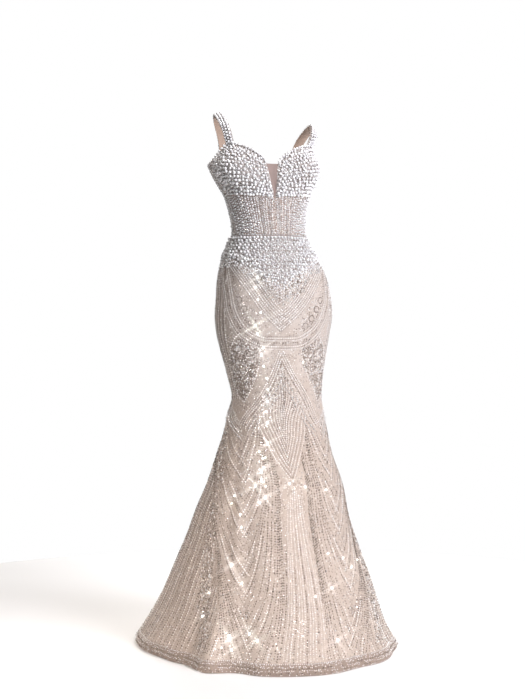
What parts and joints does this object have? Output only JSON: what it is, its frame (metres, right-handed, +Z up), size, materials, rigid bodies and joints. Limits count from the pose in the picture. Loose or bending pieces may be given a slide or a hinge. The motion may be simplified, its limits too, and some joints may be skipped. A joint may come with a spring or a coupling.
{
  "type": "evening gown",
  "caption": "Floor-length trumpet evening gown with pearl shoulder straps, sweetheart neckline, pearled hip yoke and flared beaded net skirt, open and hollow as worn.",
  "frame": {"origin": "midpoint between the undersides of the two shoulder straps, where the wearer's shoulders hold the gown up", "axes": "+Z up, -Y the front, +X the wearer's left"},
  "size_m": [0.7483, 0.8708, 1.5428],
  "materials": {
    "pearl_net": "white glass pearls sewn close together on blush net, glossy",
    "beaded_net": "blush net over lining with lines of small silver and dark beads",
    "sheer_net": "single sheer taupe net",
    "braid_net": "stiff sheer net braid",
    "zip_tape": "woven tape"
  },
  "bodies": {
    "root": {"back_zip": "zip_tape", "bodice_back_left": "beaded_net", "bodice_back_right": "beaded_net", "bodice_side_left": "beaded_net", "bodice_side_right": "beaded_net", "centre_insert": "sheer_net", "cup_left": "pearl_net", "cup_right": "pearl_net", "hem_braid": "braid_net", "midriff_front": "beaded_net", "midriff_side_left": "pearl_net", "midriff_side_right": "pearl_net", "skirt_back_left": "beaded_net", "skirt_back_right": "beaded_net", "skirt_front": "beaded_net", "skirt_side_back_left": "beaded_net", "skirt_side_back_right": "beaded_net", "skirt_side_front_left": "beaded_net", "skirt_side_front_right": "beaded_net", "strap_left": "pearl_net", "strap_right": "pearl_net", "yoke_back_left": "pearl_net", "yoke_back_right": "pearl_net", "yoke_front": "pearl_net", "yoke_side_back_left": "pearl_net", "yoke_side_back_right": "pearl_net", "yoke_side_front_left": "pearl_net", "yoke_side_front_right": "pearl_net"}
  },
  "joints": []
}
